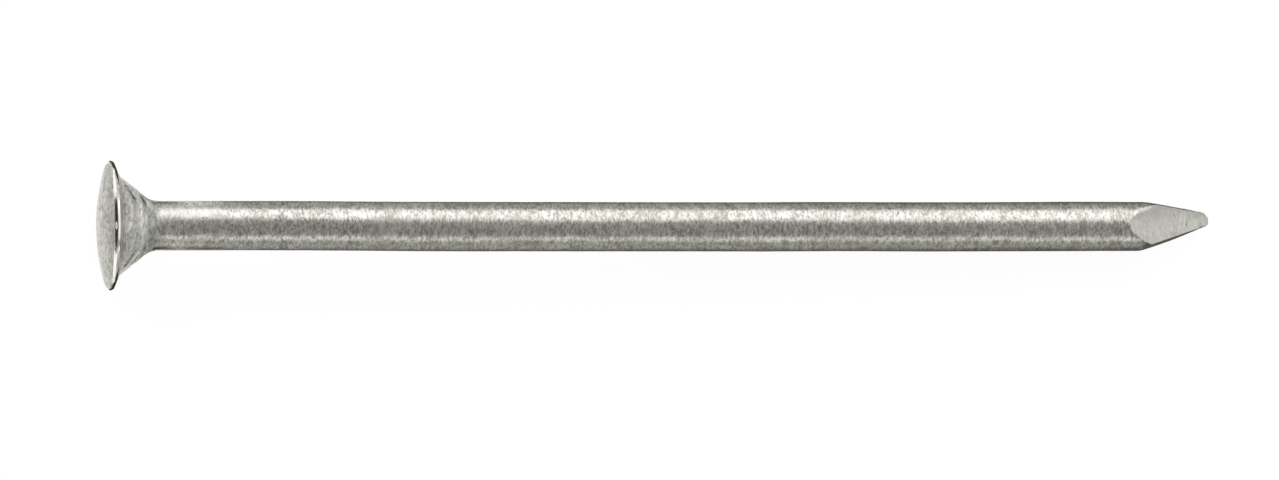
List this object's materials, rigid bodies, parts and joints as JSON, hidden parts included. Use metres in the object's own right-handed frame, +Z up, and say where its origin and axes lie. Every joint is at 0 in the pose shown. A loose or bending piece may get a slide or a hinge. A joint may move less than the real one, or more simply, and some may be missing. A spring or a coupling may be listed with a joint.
{
  "type": "nail",
  "caption": "Bright steel wire nail with a low-domed countersunk head on a fluted neck, a plain round shank and a blunt four-sided diamond point.",
  "frame": {"origin": "centre of the head's rim, its widest circle, on the nail's axis", "axes": "+X along the nail's axis from the head towards the point; +Z up, with the broad facet of the point facing up"},
  "size_m": [0.0705, 0.0082, 0.0082],
  "materials": {
    "steel": "bright drawn and tumbled steel, uncoated, with fine cross marks"
  },
  "bodies": {
    "root": {"nail": "steel"}
  },
  "joints": []
}
